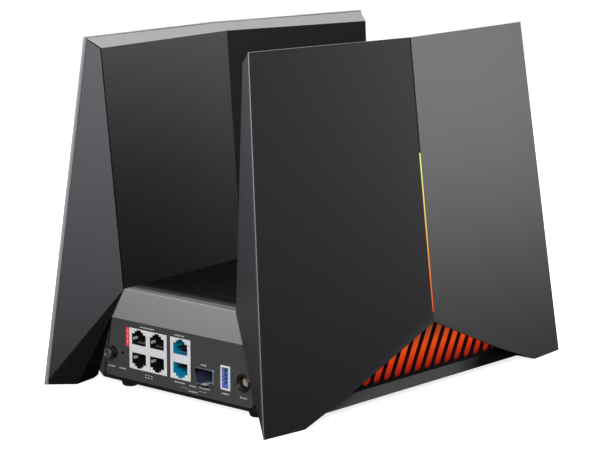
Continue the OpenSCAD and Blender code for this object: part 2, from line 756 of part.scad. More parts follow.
base_tray();
top_cover();
rear_panel();
front_panel();
side_grille(-1);  // left_side_grille
side_grille(1);  // right_side_grille
glow_guide(-1);  // left_glow_guide
glow_guide(1);  // right_glow_guide
glow_board(-1);  // left_glow_board
glow_board(1);  // right_glow_board
rubber_feet();
main_board();
chips();
shield_cans();
thermal_pads();
heat_sink();
heat_spreader();
network_transformers();
capacitors();
antenna_sockets();
lan_jacks();
wan_jacks();
jack_contacts();
sfp_cage();
sfp_connector();
usb_shell();
usb_tongue();
power_inlet();
inlet_sleeve();
power_switch();
power_button();
reset_switch();
reset_button();
board_screws();
cover_screws();
wing_screws();
outer_panel(-1);  // left_outer_panel
outer_panel(1);  // right_outer_panel
wing_frame(-1);  // left_wing_frame
wing_frame(1);  // right_wing_frame
inner_cover(-1);  // left_inner_cover
inner_cover(1);  // right_inner_cover
light_bar(-1);  // left_light_bar
light_bar(1);  // right_light_bar
crease_trim(-1);  // left_crease_trim
crease_trim(1);  // right_crease_trim
light_board(-1);  // left_light_board
light_board(1);  // right_light_board
antennas(-1);  // left_antennas
antennas(1);  // right_antennas
antenna_cables(-1);  // left_antenna_cables
antenna_cables(1);  // right_antenna_cables
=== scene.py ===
"""Looks of the wireless router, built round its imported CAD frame.

Metres, +Z up, the sockets face +Y, and "left" is -X. Sizes are written as millimetres times MM.
"""

import math

import bmesh
import bpy
from mathutils import Matrix, Vector


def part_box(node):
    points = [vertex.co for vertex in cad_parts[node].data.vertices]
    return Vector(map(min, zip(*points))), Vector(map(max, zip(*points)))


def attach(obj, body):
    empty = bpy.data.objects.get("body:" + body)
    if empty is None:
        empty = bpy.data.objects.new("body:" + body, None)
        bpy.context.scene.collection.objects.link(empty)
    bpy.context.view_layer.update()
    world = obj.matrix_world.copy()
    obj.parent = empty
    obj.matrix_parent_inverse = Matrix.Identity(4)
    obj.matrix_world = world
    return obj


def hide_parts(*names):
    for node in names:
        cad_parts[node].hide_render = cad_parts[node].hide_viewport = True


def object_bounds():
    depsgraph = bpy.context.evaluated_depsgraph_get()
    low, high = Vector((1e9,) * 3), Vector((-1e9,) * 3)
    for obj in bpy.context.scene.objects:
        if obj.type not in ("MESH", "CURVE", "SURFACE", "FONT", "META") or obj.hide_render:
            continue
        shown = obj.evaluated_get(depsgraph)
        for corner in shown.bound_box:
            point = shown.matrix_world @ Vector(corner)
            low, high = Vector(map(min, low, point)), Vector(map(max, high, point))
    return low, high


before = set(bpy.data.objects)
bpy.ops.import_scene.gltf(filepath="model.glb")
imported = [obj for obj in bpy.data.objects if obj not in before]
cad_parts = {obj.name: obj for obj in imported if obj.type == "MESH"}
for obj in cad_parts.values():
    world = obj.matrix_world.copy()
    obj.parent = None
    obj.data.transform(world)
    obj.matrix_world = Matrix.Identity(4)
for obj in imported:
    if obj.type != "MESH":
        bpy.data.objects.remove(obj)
cad_low, cad_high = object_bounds()

MM = 0.001
SIDES = {"left": -1, "right": 1}

# ---------------------------------------------------------------- places in the frame


def centre(node):
    low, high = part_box(node)
    return (low + high) / 2


panel_low, panel_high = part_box("rear_panel")
deck_low, deck_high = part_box("top_cover")
lan_low, lan_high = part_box("lan_jacks")
FACE_Y = panel_high.y                   # outer face of the socket panel
PANEL_SIDE_X = 55 * MM                  # the panel's side edges lie further out than this
DECK_Z = deck_high.z
DECK_T = 3 * MM
DECK_END_Y = deck_high.y - 2 * MM       # the deck's end edges lie further out than this
LEDGE_X, LEDGE_Y = 46 * MM, 112.9 * MM  # where the deck's ledge for the inner covers ends

# ---------------------------------------------------------------- materials


def node_of(tree, kind, **values):
    """A shader node with its properties or sockets set by name, with underscores for spaces."""
    made = tree.nodes.new(kind)
    for key, value in values.items():
        if hasattr(made, key):
            setattr(made, key, value)
        else:
            made.inputs[key.replace("_", " ")].default_value = value
    return made


def grey(value):
    return (value, value, value, 1)


def shade(colour, factor):
    return tuple(min(1, c * factor) for c in colour[:3]) + (1,)


class Finish:
    """A procedural material: a base colour that wanders a little, uneven roughness and a grain."""

    def __init__(self, colour, rough, metal=0.0, specular=0.5):
        self.material = bpy.data.materials.new("look")
        self.material.use_nodes = True
        self.tree = self.material.node_tree
        self.tree.nodes.clear()
        self.shader = node_of(self.tree, "ShaderNodeBsdfPrincipled")
        self.shader.inputs["Metallic"].default_value = metal
        self.shader.inputs["Specular IOR Level"].default_value = specular
        self.shader.inputs["Roughness"].default_value = rough
        self.shader.inputs["Base Color"].default_value = tuple(colour[:3]) + (1,)
        output = node_of(self.tree, "ShaderNodeOutputMaterial")
        self.link(self.shader.outputs[0], output.inputs[0])
        self.place = node_of(self.tree, "ShaderNodeTexCoord").outputs["Object"]

    def link(self, a, b):
        self.tree.links.new(a, b)

    def noise(self, scale, detail, stretch=(1, 1, 1)):
        place = self.place
        if stretch != (1, 1, 1):
            mapping = node_of(self.tree, "ShaderNodeMapping")
            mapping.inputs["Scale"].default_value = stretch
            self.link(place, mapping.inputs[0])
            place = mapping.outputs[0]
        made = node_of(self.tree, "ShaderNodeTexNoise", Scale=scale, Detail=detail)
        self.link(place, made.inputs["Vector"])
        return made.outputs[0]

    def ramp(self, value, stops):
        made = node_of(self.tree, "ShaderNodeValToRGB")
        ramp = made.color_ramp
        while len(ramp.elements) < len(stops):
            ramp.elements.new(0.5)
        for element, (position, colour) in zip(ramp.elements, stops):
            element.position = position
            element.color = tuple(colour[:3]) + (1,)
        self.link(value, made.inputs[0])
        return made.outputs[0]

    def span(self, value, low, high, out_low=0.0, out_high=1.0):
        made = node_of(self.tree, "ShaderNodeMapRange")
        for socket, number in zip(made.inputs[1:5], (low, high, out_low, out_high)):
            socket.default_value = number
        self.link(value, made.inputs[0])
        return made.outputs[0]

    def axis(self, index):
        split = node_of(self.tree, "ShaderNodeSeparateXYZ")
        self.link(self.place, split.inputs[0])
        return split.outputs[index]

    def height(self):
        return self.axis(2)

    def from_middle(self):
        """Distance from the middle front to back."""
        made = node_of(self.tree, "ShaderNodeMath", operation="ABSOLUTE")
        self.link(self.axis(1), made.inputs[0])
        return made.outputs[0]

    def colour_noise(self, colour, amount, scale):
        """The base colour wanders by the given share."""
        value = self.span(self.noise(scale, 3), 0.3, 0.7)
        stops = [(0, shade(colour, 1 - amount)), (1, shade(colour, 1 + amount))]
        self.link(self.ramp(value, stops), self.shader.inputs["Base Color"])

    def colour_along(self, value, stops, low, high):
        """The base colour runs through the stops as a measured value goes from low to high."""
        self.link(self.ramp(self.span(value, low, high), stops), self.shader.inputs["Base Color"])

    def rough_noise(self, low, high, scale):
        value = self.span(self.noise(scale, 4), 0.3, 0.7, low, high)
        self.link(value, self.shader.inputs["Roughness"])

    def grain(self, scale, depth, strength, stretch=(1, 1, 1)):
        bump = node_of(self.tree, "ShaderNodeBump", Strength=strength, Distance=depth)
        self.link(self.noise(scale, 2, stretch), bump.inputs["Height"])
        self.link(bump.outputs[0], self.shader.inputs["Normal"])


SPARK_SCALE = 2600  # noise scale of a spark-eroded mould's texture


def moulded(colour, rough, texture=0.03, specular=0.4):
    """Spark-textured moulded plastic."""
    made = Finish(colour, rough, specular=specular)
    made.colour_noise(colour, 0.03, 500)
    made.rough_noise(rough - 0.02, rough + 0.02, 400)
    made.grain(SPARK_SCALE, texture * MM, 0.35)
    return made.material


def shaded(axis, stops, low, high, rough=0.5, specular=0.4, tint=(1, 1, 1)):
    """Textured plastic with painted shade: its grey changes along an axis, "up", "ends" or "back", as
    light and shade would fall.
    """
    made = Finish(grey(stops[0][1]), rough, specular=specular)
    value = {"up": made.height, "ends": made.from_middle, "back": lambda: made.axis(1)}[axis]()
    made.colour_along(value, [(at, [level * t for t in tint]) for at, level in stops], low, high)
    made.rough_noise(rough - 0.02, rough + 0.02, 400)
    made.grain(SPARK_SCALE, 0.004 * MM, 0.35)
    return made.material


def glossy(colour, rough):
    """Smooth moulded plastic with a faint flow pattern."""
    made = Finish(colour, rough)
    made.colour_noise(colour, 0.04, 120)
    made.rough_noise(rough - 0.06, rough + 0.06, 90)
    made.grain(900, 0.01 * MM, 0.25)
    return made.material


def metal(colour, rough):
    """Rolled or drawn metal, with fine lines across Y."""
    made = Finish(colour, rough, metal=1.0)
    made.colour_noise(colour, 0.07, 150)
    made.rough_noise(rough - 0.08, rough + 0.1, 180)
    made.grain(700, 0.01 * MM, 0.3, stretch=(1, 14, 1))
    return made.material


def glowing(stops, low, high):
    """Translucent plastic lit from behind, its colour changing with height."""
    made = Finish(stops[0][1], 0.4, specular=0.1)
    value = made.span(made.height(), low, high)
    colour = made.ramp(value, stops)
    made.link(colour, made.shader.inputs["Emission Color"])
    made.shader.inputs["Emission Strength"].default_value = 1.0
    dark = [(at, shade(c, 0.05)) for at, c in stops]
    made.link(made.ramp(value, dark), made.shader.inputs["Base Color"])
    made.rough_noise(0.35, 0.5, 300)
    made.grain(1500, 0.02 * MM, 0.2)
    return made.material


def circuit(board, trace):
    """Solder resist with tracks showing through."""
    made = Finish(board, 0.35)
    tracks = node_of(made.tree, "ShaderNodeTexBrick", Scale=160.0, Mortar_Size=0.06)
    tracks.inputs["Color1"].default_value = shade(board, 1)
    tracks.inputs["Color2"].default_value = shade(board, 0.8)
    tracks.inputs["Mortar"].default_value = shade(trace, 1)
    made.link(made.place, tracks.inputs["Vector"])
    made.link(tracks.outputs[0], made.shader.inputs["Base Color"])
    made.rough_noise(0.28, 0.42, 200)
    made.grain(800, 0.02 * MM, 0.3)
    return made.material


LOOKS = {
    "graphite": moulded((0.0105, 0.0105, 0.0125), 0.36, texture=0.004, specular=0.39),
    "silver_edge": moulded((0.285, 0.285, 0.292), 0.45, specular=0.2),
    # painted shade: the wing shell's grey darkens towards the bottom
    "frame_grey_painted_shade": shaded(
        "up", [(0, 0.02), (0.3, 0.046), (1, 0.1)], 0, 215 * MM, tint=(0.95, 1, 1.1)),
    # painted shade: near black for the wing shell's faces that look down
    "frame_down_painted_shade": moulded((0.004, 0.004, 0.004), 0.6, specular=0.15),
    # painted shade: the inner wall darkens towards the bottom
    "cover_dark_painted_shade": shaded(
        "up", [(0, 0.012), (0.45, 0.028), (1, 0.062)], 60 * MM, 210 * MM, 0.45, 0.1),
    # painted shade: a darker copy for the inner wall's front half
    "cover_front_painted_shade": shaded("up", [(0, 0.0035), (1, 0.006)], 60 * MM, 210 * MM, 0.45, 0.06),
    "strip_silver": moulded((0.3, 0.292, 0.292), 0.45),
    # painted light and shade: the deck is lighter towards its ends and near black in the middle
    "deck_painted_shade": shaded(
        "ends", [(0, 0.002), (0.5, 0.003), (0.68, 0.03), (0.86, 0.14), (0.98, 0.25)],
        80 * MM, 117 * MM, specular=0.12),
    # painted shadow: the base's sides darken towards the front
    "base_painted_shadow": shaded("back", [(0, 0.001), (1, 0.09)], -58 * MM, -28 * MM, specular=0.05),
    "panel_grey": moulded((0.055, 0.055, 0.055), 0.48),
    # black for the crease trim and the plunger, and painted shade in the pin hole and the notches
    "seam_black_and_painted_shade": moulded((0.004, 0.004, 0.004), 0.6, specular=0.15),
    "grille_black": moulded((0.0025, 0.0025, 0.0025), 0.55, specular=0.08),
    "rubber": moulded((0.015, 0.015, 0.015), 0.7, texture=0.05),
    "black_plastic": moulded((0.012, 0.012, 0.013), 0.5),
    "jack_white": glossy((0.72, 0.72, 0.74), 0.35),
    "jack_teal": glossy((0.0, 0.25, 0.42), 0.35),
    "jack_black": moulded((0.006, 0.006, 0.006), 0.45),
    "usb_blue": glossy((0.02, 0.36, 1.0), 0.35),
    "mark_white": glossy((0.5, 0.5, 0.5), 0.5),
    "label_red": glossy((0.8, 0.06, 0.05), 0.45),
    "button_dark": moulded((0.01, 0.01, 0.011), 0.35),
    "black_gloss": glossy((0.01, 0.01, 0.011), 0.35),
    # painted shade: the dark inside of the module cage
    "cage_inside_painted_shade": moulded((0.03, 0.033, 0.07), 0.45),
    "usb_dark": glossy((0.16, 0.2, 0.5), 0.4),
    "pin_beige": glossy((0.3, 0.24, 0.17), 0.5),
    "jack_spring": glossy((0.4, 0.4, 0.41), 0.4),
    "sign_grey": glossy((0.2, 0.2, 0.2), 0.35),
    "tag_pink": glossy((0.8, 0.35, 0.35), 0.5),
    "contact": metal((0.22, 0.22, 0.27), 0.35),
    "tin": metal((0.72, 0.72, 0.74), 0.28),
    "gold": metal((0.85, 0.6, 0.25), 0.25),
    "aluminium": metal((0.6, 0.61, 0.63), 0.4),
    "screw": metal((0.3, 0.3, 0.31), 0.35),
    "pad": moulded((0.4, 0.42, 0.47), 0.8),
    "laminate": circuit((0.35, 0.22, 0.08), (0.7, 0.45, 0.2)),
    "board": circuit((0.01, 0.06, 0.035), (0.03, 0.12, 0.07)),
    "cable": moulded((0.015, 0.015, 0.015), 0.4),
    "light_bar": glowing(
        [(0, (0.8, 0.045, 0.012)), (0.33, (0.95, 0.3, 0.05)), (0.58, (0.93, 0.62, 0.12)),
         (0.83, (0.93, 0.85, 0.2)), (1, (0.95, 0.95, 0.24))],
        51 * MM, 146 * MM),
    "glow": glowing(
        [(0, (0.22, 0.007, 0.003)), (0.2, (0.55, 0.026, 0.005)), (0.42, (0.76, 0.066, 0.009)),
         (0.68, (0.34, 0.055, 0.015)), (1, (0.1, 0.03, 0.014))],
        14 * MM, 47 * MM),
}
for look, material in LOOKS.items():
    material.name = look

# ---------------------------------------------------------------- mesh helpers

SHARP = math.radians(32)  # edges that fold by more than this are rounded
FLAT = math.radians(0.3)  # faces that meet at less than this are one face
FOLD = math.radians(3)    # broad faces that meet at more than this keep a crisp crease
BROAD = 1e-4              # square metres
WELD = 2e-6               # points closer than this become one
SLIVER = 1e-6             # faces and edges smaller than this are dropped
CRISP = 0.12 * MM         # rounding of a crisp edge
SOFT = 0.2 * MM           # rounding of a soft edge


def from_bmesh(name, bm, looks):
    """A new object that holds bm, smooth shaded, with its flat faces kept flat."""
    bmesh.ops.dissolve_degenerate(bm, edges=bm.edges, dist=SLIVER)
    bmesh.ops.recalc_face_normals(bm, faces=bm.faces)
    mesh = bpy.data.meshes.new(name)
    for face in bm.faces:
        face.smooth = True
    for edge in bm.edges:
        if len(edge.link_faces) == 2 and edge.calc_face_angle() > FOLD:
            edge.smooth = min(face.calc_area() for face in edge.link_faces) < BROAD
    bm.to_mesh(mesh)
    bm.free()
    made = bpy.data.objects.new(name, mesh)
    bpy.context.scene.collection.objects.link(made)
    for look in looks:
        mesh.materials.append(LOOKS[look])
    weighted = made.modifiers.new("weighted", "WEIGHTED_NORMAL")
    weighted.mode = "FACE_AREA"
    weighted.keep_sharp = True
    return made


def place_piece(obj, nodes=(), body="chassis"):
    """Joins a piece to its body and hides the CAD nodes that it stands for."""
    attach(obj, body)
    if nodes:
        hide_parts(*nodes)


def cad_copy(node):
    """The welded mesh of a CAD node, with flat faces whole again."""
    bm = bmesh.new()
    bm.from_mesh(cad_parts[node].data)
    bmesh.ops.remove_doubles(bm, verts=bm.verts, dist=WELD)
    bmesh.ops.dissolve_limit(bm, angle_limit=FLAT, verts=bm.verts, edges=bm.edges)
    for face in bm.faces:
        face.material_index = 0
    bm.normal_update()
    return bm


def edge_middle(edge):
    return (edge.verts[0].co + edge.verts[1].co) / 2


def edge_direction(edge):
    return (edge.verts[1].co - edge.verts[0].co).normalized()


def round_edges(bm, width, segments=2, pick=None, material=-1):
    """Rounds the sharp edges that pick accepts."""
    chosen = [
        e for e in bm.edges
        if len(e.link_faces) == 2 and e.calc_face_angle() > SHARP
        and e.calc_length() > 0.05 * MM and (pick is None or pick(e))
    ]
    if chosen:
        bmesh.ops.bevel(
            bm, geom=chosen, offset=width, offset_type="OFFSET", segments=segments,
            profile=0.5, affect="EDGES", clamp_overlap=True, material=material)
        bm.normal_update()


def soft_box(bm, low, high, radius, material=0, segments=2):
    """A box between two corners with all its edges rounded."""
    low, high = Vector(low), Vector(high)
    stretch = Matrix.Diagonal((*(high - low), 1))
    part = bmesh.new()
    bmesh.ops.create_cube(part, size=1, matrix=Matrix.Translation((high + low) / 2) @ stretch)
    bmesh.ops.bevel(
        part, geom=part.edges[:], offset=radius, segments=segments, profile=0.5, affect="EDGES")
    merge(bm, part, material)


def merge(bm, part, material=0):
    """Adds the bmesh part to bm, in one material, and frees it."""
    for face in part.faces:
        face.material_index = material
    mesh = bpy.data.meshes.new("part")
    part.to_mesh(mesh)
    part.free()
    bm.from_mesh(mesh)
    bpy.data.meshes.remove(mesh)


def lathe(bm, profile, at, axis="Y", steps=64):
    """Turns a profile of (radius, place along the axis) round the axis through at."""
    part = bmesh.new()
    rings = []
    for radius, along in profile:
        ring = []
        for k in range(steps if radius > 0 else 1):
            angle = 2 * math.pi * k / steps
            a, b = radius * math.cos(angle), radius * math.sin(angle)
            ring.append(part.verts.new((a, along, b) if axis == "Y" else (a, b, along)))
        rings.append(ring)
    for one, two in zip(rings, rings[1:]):
        for k in range(steps):
            a, b = one[k % len(one)], one[(k + 1) % len(one)]
            c, d = two[(k + 1) % len(two)], two[k % len(two)]
            corners = []
            for vert in (a, b, c, d):
                if vert not in corners:
                    corners.append(vert)
            if len(corners) > 2:
                part.faces.new(corners)
    bmesh.ops.remove_doubles(part, verts=part.verts, dist=WELD)
    bmesh.ops.translate(part, vec=Vector(at), verts=part.verts)
    bmesh.ops.recalc_face_normals(part, faces=part.faces)
    merge(bm, part)


def ribbon(bm, path, x, width, thickness):
    """A strip of sheet metal that follows (y, z) points, centred on x."""
    part = bmesh.new()
    rings = []
    for k, (y, z) in enumerate(path):
        before, after = Vector(path[max(k - 1, 0)]), Vector(path[min(k + 1, len(path) - 1)])
        along = (after - before).normalized()
        normal = Vector((-along.y, along.x)) * thickness / 2
        ring = [
            part.verts.new((x + sx * width / 2, y + s * normal.x, z + s * normal.y))
            for sx, s in ((-1, -1), (1, -1), (1, 1), (-1, 1))
        ]
        rings.append(ring)
    for one, two in zip(rings, rings[1:]):
        for k in range(4):
            part.faces.new((one[k], one[(k + 1) % 4], two[(k + 1) % 4], two[k]))
    part.faces.new(rings[0])
    part.faces.new(rings[-1])
    bmesh.ops.recalc_face_normals(part, faces=part.faces)
    merge(bm, part)


# ---------------------------------------------------------------- wings


def is_end_or_top(face):
    """The outer panel's faces at the wing's two ends and along its top."""
    at_top = face.normal.z > 0.6 and face.calc_center_median().z > 0.9 * cad_high.z
    return abs(face.normal.y) > 0.7 and abs(face.normal.x) > 0.3 or at_top


def outer_panel(side, sign):
    """The folded plate, its rim bright along the ends and the top."""
    node = side + "_outer_panel"
    bm = cad_copy(node)
    for face in bm.faces:
        if is_end_or_top(face):
            face.material_index = 1

    def on_rim(edge):
        kinds = [f.material_index for f in edge.link_faces]
        outward = any(f.normal.x * sign > 0.9 for f in edge.link_faces)
        return sorted(kinds) == [0, 1] and outward

    round_edges(bm, 0.35 * MM, 2, on_rim, material=1)
    round_edges(bm, CRISP, 2, lambda e: all(f.material_index == 0 for f in e.link_faces))
    made = from_bmesh(side + "_outer_plate", bm, ["graphite", "silver_edge"])
    place_piece(made, [node])


def wing_frame(side):
    """The wing's shell, its grey darkening downwards as painted shade, and its faces that look down
    painted near black as shade.
    """
    node = side + "_wing_frame"
    bm = cad_copy(node)
    for face in bm.faces:
        # painted shade: faces that look down get the near black copy
        if face.normal.z < -0.15:
            face.material_index = 1
    round_edges(bm, CRISP, material=0)
    made = from_bmesh(side + "_wing_shell", bm, ["frame_grey_painted_shade", "frame_down_painted_shade"])
    place_piece(made, [node])


def inner_cover(side):
    """The inner wall with its pale strip along the top, painted shade darkening it downwards, and its
    front half painted darker as shade.
    """
    node = side + "_inner_cover"
    bm = cad_copy(node)
    # the front half's faces get the darker copy, as painted shade
    for face in bm.faces:
        if face.normal.z > 0.6:
            face.material_index = 1
        elif face.calc_center_median().y < 0:
            face.material_index = 2
    round_edges(bm, SOFT)
    made = from_bmesh(side + "_inner_wall", bm, ["cover_dark_painted_shade", "strip_silver", "cover_front_painted_shade"])
    place_piece(made, [node])


def crease_parts(side):
    """The lit bar and the dark trim in the plate's crease."""
    for node, slot, look in (
        (side + "_light_bar", "light_amber", "light_bar"),
        (side + "_crease_trim", "trim_black", "seam_black_and_painted_shade"),
    ):
        bm = cad_copy(node)
        round_edges(bm, CRISP)
        place_piece(from_bmesh(node + "_lens", bm, [look]), [node])


for side, sign in SIDES.items():
    outer_panel(side, sign)
    wing_frame(side)
    inner_cover(side)
    crease_parts(side)

# ---------------------------------------------------------------- body shell


def top_cover():
    """The louvred deck: slots with round ends between slats with soft edges."""
    bm = cad_copy("top_cover")

    def slot_corner(edge):
        middle = edge_middle(edge)
        inside = abs(middle.y) < LEDGE_Y or abs(middle.x) < LEDGE_X
        upright = abs(edge_direction(edge).z) > 0.99
        return upright and inside and not edge.is_convex and middle.z > DECK_Z - DECK_T

    def deck_end(edge):
        middle = edge_middle(edge)
        lengthwise = abs(edge_direction(edge).x) > 0.99
        return lengthwise and middle.z > DECK_Z - 0.1 * MM and abs(middle.y) > DECK_END_Y

    round_edges(bm, 1.1 * MM, 4, slot_corner)
    round_edges(bm, 0.9 * MM, 3, deck_end)
    round_edges(bm, 0.3 * MM, 2)
    # the deck's grey carries painted light at its ends and painted shade in the middle
    place_piece(from_bmesh("louvred_cover", bm, ["deck_painted_shade"]), ["top_cover"])


def base_tray():
    """The base: its ends and underside are black plastic, and a painted shadow darkens its sides
    towards the front.
    """
    bm = cad_copy("base_tray")
    for face in bm.faces:
        if abs(face.normal.y) > 0.99 or face.normal.z < -0.9:
            face.material_index = 1
    round_edges(bm, 0.35 * MM)
    made = from_bmesh("base_shell", bm, ["base_painted_shadow", "black_plastic"])
    place_piece(made, ["base_tray"])


def end_panel(node, name):
    """The panel at one end, its lower corners well rounded and the wall of its pin hole painted black
    as shade.
    """
    bm = cad_copy(node)
    outward = 1 if node == "rear_panel" else -1
    hole = centre("reset_button")
    # painted shade: the pin hole's wall is black
    for face in bm.faces:
        off = face.calc_center_median() - hole
        if outward > 0 and abs(face.normal.y) < 0.5 and math.hypot(off.x, off.z) < 1.5 * MM:
            face.material_index = 1

    def in_front(edge):
        return any(f.normal.y * outward > 0.9 for f in edge.link_faces)

    def front_side(edge):
        beside = any(abs(f.normal.x) > 0.9 for f in edge.link_faces)
        return in_front(edge) and beside and abs(edge_middle(edge).x) > PANEL_SIDE_X

    def front_low(edge):
        return in_front(edge) and edge_middle(edge).z < panel_low.z + 4 * MM

    round_edges(bm, 1.2 * MM, 4, front_side)
    round_edges(bm, 0.8 * MM, 3, front_low)
    round_edges(bm, 0.15 * MM)
    place_piece(from_bmesh(name, bm, ["panel_grey", "seam_black_and_painted_shade"]), [node])


def face_loops(bm, side):
    """The closed (y, z) outlines round the faces that look towards side."""
    facing = {f for f in bm.faces if f.normal.x * side > 0.99}
    edges = [e for e in bm.edges if len([f for f in e.link_faces if f in facing]) == 1]
    ends = {}
    for edge in edges:
        for vert in edge.verts:
            ends.setdefault(vert, []).append(edge)
    loops, used = [], set()
    for edge in edges:
        if edge in used:
            continue
        used.add(edge)
        start, here = edge.verts
        loop = [start]
        while here != start:
            loop.append(here)
            following = next(e for e in ends[here] if e not in used)
            used.add(following)
            here = following.other_vert(here)
        loops.append([Vector((v.co.y, v.co.z)) for v in loop])
    return loops


def filleted(loop, radius, top, steps=8):
    """An outline whose corners below a height are rounded, as far as its sides leave room."""
    points = []
    for k, corner in enumerate(loop):
        to_last = loop[k - 1] - corner
        to_next = loop[(k + 1) % len(loop)] - corner
        angle = to_last.angle(to_next)
        if corner.y > top or angle > math.radians(170):
            points.append(corner)
            continue
        reach = min(radius / math.tan(angle / 2), 0.45 * to_last.length, 0.45 * to_next.length)
        to_last.normalize()
        to_next.normalize()
        centre_point = corner + (to_last + to_next).normalized() * reach / math.cos(angle / 2)
        first = corner + to_last * reach - centre_point
        last = corner + to_next * reach - centre_point
        turn = first.angle_signed(last)
        for step in range(steps + 1):
            arm = first.copy()
            arm.rotate(Matrix.Rotation(-turn * step / steps, 2))
            points.append(centre_point + arm)
    return points


SLOT_FILLET = 2.4 * MM    # rounding of the slots' lower corners
SLOT_FILLET_H = 3.2 * MM  # and how far up the grille such corners are found


def side_grilles():
    """Each grille is built again from its outlines, so that its slots get rounded lower ends."""
    for side, sign in SIDES.items():
        node = side + "_side_grille"
        low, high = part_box(node)
        back, front = (low.x, high.x) if sign > 0 else (high.x, low.x)
        solid = cad_copy(node)
        loops = face_loops(solid, sign)
        solid.free()
        outer = max(loops, key=lambda loop: max(p.x for p in loop) - min(p.x for p in loop))
        bm = bmesh.new()
        for loop in loops:
            if loop is not outer:
                loop = filleted(loop, SLOT_FILLET, low.z + SLOT_FILLET_H)
            verts = [bm.verts.new((front, p.x, p.y)) for p in loop]
            for one, two in zip(verts, verts[1:] + verts[:1]):
                bm.edges.new((one, two))
        bmesh.ops.remove_doubles(bm, verts=bm.verts, dist=0.02 * MM)
        bmesh.ops.triangle_fill(bm, use_beauty=True, edges=bm.edges[:])
        made = bmesh.ops.extrude_face_region(bm, geom=bm.faces[:])
        moved = [v for v in made["geom"] if isinstance(v, bmesh.types.BMVert)]
        bmesh.ops.translate(bm, vec=(back - front, 0, 0), verts=moved)
        bmesh.ops.recalc_face_normals(bm, faces=bm.faces)
        round_edges(bm, SOFT, 2, lambda e: all(abs(v.co.x - front) < WELD for v in e.verts))
        place_piece(from_bmesh(side + "_grille", bm, ["grille_black"]), [node])
        node = side + "_glow_guide"
        bm = cad_copy(node)
        round_edges(bm, SOFT)
        place_piece(from_bmesh(side + "_glow_plate", bm, ["glow"]), [node])


top_cover()
base_tray()
end_panel("rear_panel", "socket_panel")
end_panel("front_panel", "front_plate")
side_grilles()

# ---------------------------------------------------------------- sockets


def inside_faces(bm, node, rim):
    """Faces that are more than rim inside the node's box across and up, and behind its front."""
    low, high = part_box(node)
    found = []
    for face in bm.faces:
        at = face.calc_center_median()
        across = low.x + rim < at.x < high.x - rim
        up = low.z + rim < at.z < high.z - rim
        if across and up and low.y + rim < at.y < high.y - 0.1 * MM:
            found.append(face)
    return found


def jack_housing(node, name, inside):
    """A white block of sockets whose openings have their own colour inside."""
    bm = cad_copy(node)
    for face in inside_faces(bm, node, 0.6 * MM):
        face.material_index = 1
    round_edges(bm, CRISP)
    place_piece(from_bmesh(name, bm, ["jack_white", inside]), [node])


JACK_W, JACK_H, JACK_PITCH = 11.7 * MM, 6.7 * MM, 15.4 * MM
CONTACT_PITCH, WIRE_W, WIRE_T = 1.02 * MM, 0.42 * MM, 0.22 * MM
JACK_Z = (lan_low.z + 6.7 * MM, lan_low.z + 18.55 * MM)  # middles of the lower and upper sockets
LAN_X = (centre("lan_jacks").x - JACK_PITCH / 2, centre("lan_jacks").x + JACK_PITCH / 2)
WAN_X = centre("wan_jacks").x


def jack_contacts():
    """Eight sprung wires in each socket, rising from the wall away from the latch slot."""
    bm = bmesh.new()
    bend = ((12.6, 3.4), (9, 2.6), (4.2, 0.9), (3.2, 0.35), (3.4, 0), (5, -0.1))  # depth, rise
    for x in (*LAN_X, WAN_X):
        for z, up in zip(JACK_Z, (-1, 1)):
            wall = z - up * (JACK_H / 2 - 0.35 * MM)
            path = [(FACE_Y - depth * MM, wall + up * rise * MM) for depth, rise in bend]
            for i in range(8):
                ribbon(bm, path, x + (i - 3.5) * CONTACT_PITCH, WIRE_W, WIRE_T)
    place_piece(from_bmesh("jack_wires", bm, ["contact"]), ["jack_contacts"])


def jack_springs():
    """Earth springs on the side walls of the four sockets, and the fast sockets' dark combs."""
    bm = bmesh.new()
    for x in LAN_X:
        for z in JACK_Z:
            for side in (-1, 1):
                wall = x + side * JACK_W / 2
                inner = wall - side * 0.7 * MM
                low = (min(wall, inner), FACE_Y - 4.5 * MM, z - 0.9 * MM)
                high = (max(wall, inner), FACE_Y - 0.9 * MM, z + 0.9 * MM)
                soft_box(bm, low, high, 0.3 * MM)
    place_piece(from_bmesh("jack_springs", bm, ["jack_spring"]))
    bm = bmesh.new()
    reach = JACK_W / 2 - 0.75 * MM
    for z in (JACK_Z[0] + 0.4 * MM, JACK_Z[1] + 0.3 * MM):
        soft_box(bm, (WAN_X - reach, FACE_Y - 9 * MM, z - 0.5 * MM),
            (WAN_X + reach, FACE_Y - 2.4 * MM, z + 0.35 * MM), 0.15 * MM)
    place_piece(from_bmesh("contact_combs", bm, ["jack_black"]))


CAGE_H = 9.8 * MM  # height of the module cage's mouth
USB_H = 14.5 * MM  # height of the USB socket's mouth


